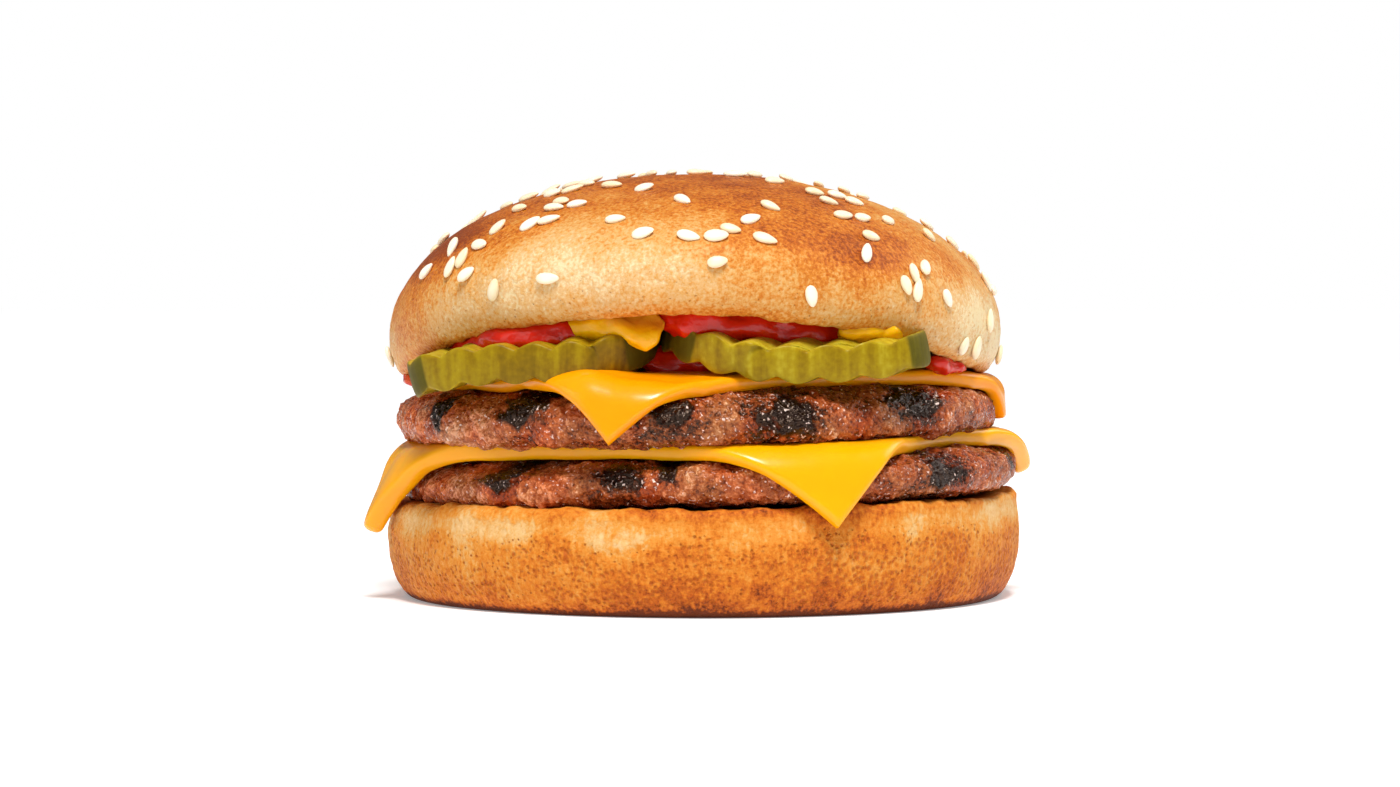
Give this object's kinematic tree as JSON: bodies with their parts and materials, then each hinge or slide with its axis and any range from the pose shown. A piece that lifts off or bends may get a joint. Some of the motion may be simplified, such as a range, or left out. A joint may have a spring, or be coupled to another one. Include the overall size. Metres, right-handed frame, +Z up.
{
  "type": "double cheeseburger",
  "caption": "Double cheeseburger on a sesame bun: grilled patties each under a melted slice of cheese, crinkle-cut pickle, ketchup and mustard.",
  "frame": {"origin": "centre of the flat face under the heel, on the surface that the burger stands on", "axes": "+Z up, -Y towards the front, which shows a hanging corner of each cheese slice, +X to the right as seen from the front"},
  "size_m": [0.1067, 0.1051, 0.0666],
  "materials": {
    "bun": "baked bread crust, golden to deep brown, dull with a soft sheen on the crown",
    "meat": "flame-grilled minced beef, coarse and wet with fat, charred dark at the grill bars",
    "cheese": "melted processed cheese, smooth with a soft gloss",
    "pickle": "pickled gherkin, wet and translucent",
    "ketchup": "tomato ketchup, wet gloss",
    "mustard": "yellow mustard, wet gloss",
    "seed": "hulled sesame seed, cream white, dull"
  },
  "bodies": {
    "root": {"heel": "bun", "patty_lower": "meat", "cheese_lower": "cheese", "patty_upper": "meat", "cheese_upper": "cheese", "pickle_left": "pickle", "pickle_right": "pickle", "ketchup_left": "ketchup", "ketchup_right": "ketchup", "ketchup_middle": "ketchup", "mustard_left": "mustard", "mustard_right": "mustard", "ketchup_drop_right": "ketchup", "ketchup_drop_left": "ketchup", "crown": "bun"}
  },
  "joints": []
}
